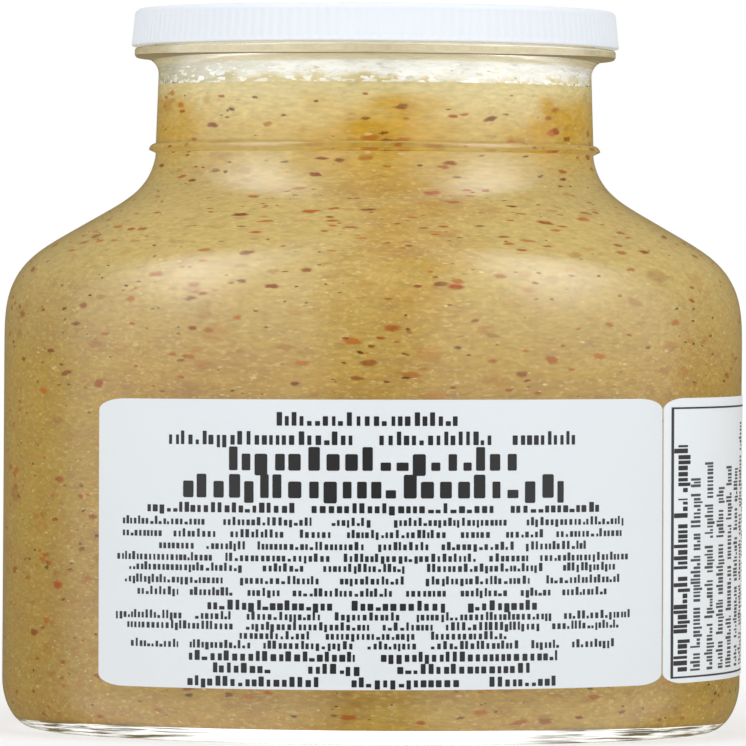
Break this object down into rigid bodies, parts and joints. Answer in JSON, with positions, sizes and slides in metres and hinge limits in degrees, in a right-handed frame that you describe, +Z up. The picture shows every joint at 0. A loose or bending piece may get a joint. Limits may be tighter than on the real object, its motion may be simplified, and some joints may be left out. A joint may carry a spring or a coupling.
{
  "type": "salad dressing bottle",
  "caption": "Squat round glass bottle of speckled mustard-coloured salad dressing with a ringed neck, a ribbed white screw cap and paper labels on its side.",
  "frame": {"origin": "centre of the bottle's resting ring, on the surface it stands on", "axes": "+Z up along the bottle's axis, -Y towards the middle of the front label, +X to the right seen from the front"},
  "size_m": [0.0921, 0.0921, 0.0895],
  "materials": {
    "bottle_glass": "smooth clear colourless glass",
    "cap_plastic": "white moulded plastic with a satin gloss and fine ribs",
    "dressing": "thick, slightly grainy mustard dressing, wet against the glass",
    "label_paper": "smooth white coated paper"
  },
  "bodies": {
    "root": {"bottle": "bottle_glass", "cap": "cap_plastic", "dressing": "dressing", "front_label": "label_paper", "side_label": "label_paper"}
  },
  "joints": []
}
